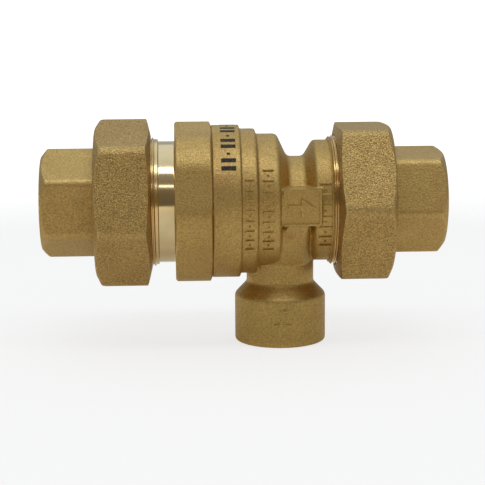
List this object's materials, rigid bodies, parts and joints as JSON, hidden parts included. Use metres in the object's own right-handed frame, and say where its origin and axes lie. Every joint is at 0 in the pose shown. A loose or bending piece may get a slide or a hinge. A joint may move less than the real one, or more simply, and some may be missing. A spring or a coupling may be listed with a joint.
{
  "type": "backflow preventer",
  "caption": "Straight brass dual check valve with hexagonal union ends, a stepped round body and a threaded vent branch pointing down.",
  "frame": {"origin": "on the flow axis, at the centre of the inlet port's end face", "axes": "+X along the flow from the inlet to the outlet, -Z down the vent branch, -Y towards the front label pad"},
  "size_m": [0.1141, 0.0478, 0.0636],
  "materials": {
    "forged_brass": "blasted forging, satin",
    "turned_brass": "turned, bright",
    "stainless_steel": "satin",
    "black_rubber": "matte",
    "white_acetal": "satin moulded"
  },
  "bodies": {
    "valve": {"valve_body": "forged_brass", "inlet_cap": "forged_brass", "cap_o_ring": "black_rubber", "inlet_union_gasket": "black_rubber", "outlet_union_gasket": "black_rubber", "strainer_ring": "stainless_steel", "strainer_screen": "stainless_steel", "first_check_seat": "white_acetal", "first_check_o_ring": "black_rubber", "first_check_spring": "stainless_steel", "first_check_guide": "white_acetal", "first_check_snap_ring": "stainless_steel", "diaphragm_clamp_ring": "turned_brass", "vent_diaphragm": "black_rubber", "second_check_seat": "white_acetal", "second_check_o_ring": "black_rubber", "second_check_spring": "stainless_steel", "second_check_guide": "white_acetal", "second_check_snap_ring": "stainless_steel"},
    "first_check": {"first_check_poppet": "white_acetal", "first_check_seal_disc": "black_rubber", "first_check_retainer": "stainless_steel"},
    "vent_closer": {"vent_hub": "white_acetal", "vent_hub_retainer": "stainless_steel"},
    "second_check": {"second_check_poppet": "white_acetal", "second_check_seal_disc": "black_rubber", "second_check_retainer": "stainless_steel"},
    "inlet_tail": {"inlet_tailpiece": "forged_brass"},
    "inlet_nut": {"inlet_union_nut": "forged_brass"},
    "outlet_tail": {"outlet_tailpiece": "forged_brass"},
    "outlet_nut": {"outlet_union_nut": "forged_brass"}
  },
  "joints": [
    {"name": "first_check_slide", "type": "slide", "parent": "valve", "child": "first_check", "axis": [1, 0, 0], "range_m": [0, 0.004], "stiffness_N_per_m": 300, "springref_m": -0.003, "deforming": ["first_check_spring"]},
    {"name": "vent_closer_slide", "type": "slide", "parent": "valve", "child": "vent_closer", "axis": [1, 0, 0], "range_m": [0, 0.002], "stiffness_N_per_m": 500, "springref_m": -0.0005, "deforming": ["vent_diaphragm"]},
    {"name": "second_check_slide", "type": "slide", "parent": "valve", "child": "second_check", "axis": [1, 0, 0], "range_m": [0, 0.003], "stiffness_N_per_m": 300, "springref_m": -0.003, "deforming": ["second_check_spring"]},
    {"name": "inlet_tail_slide", "type": "slide", "parent": "valve", "child": "inlet_tail", "axis": [-1, 0, 0], "range_m": [0, 0.0063]},
    {"name": "inlet_nut_spin", "type": "hinge", "parent": "inlet_tail", "child": "inlet_nut", "pos_m": [0.0152, 0, 0], "axis": [-1, 0, 0], "range_deg": [0, 2520]},
    {"name": "outlet_tail_slide", "type": "slide", "parent": "valve", "child": "outlet_tail", "axis": [1, 0, 0], "range_m": [0, 0.0063]},
    {"name": "outlet_nut_spin", "type": "hinge", "parent": "outlet_tail", "child": "outlet_nut", "pos_m": [0.0989, 0, 0], "axis": [1, 0, 0], "range_deg": [0, 2520]}
  ],
  "couplings": [
    {"joint": "inlet_nut_spin", "follows": "inlet_tail_slide", "rad_per_m": 6927.4},
    {"joint": "outlet_nut_spin", "follows": "outlet_tail_slide", "rad_per_m": 6927.4}
  ]
}
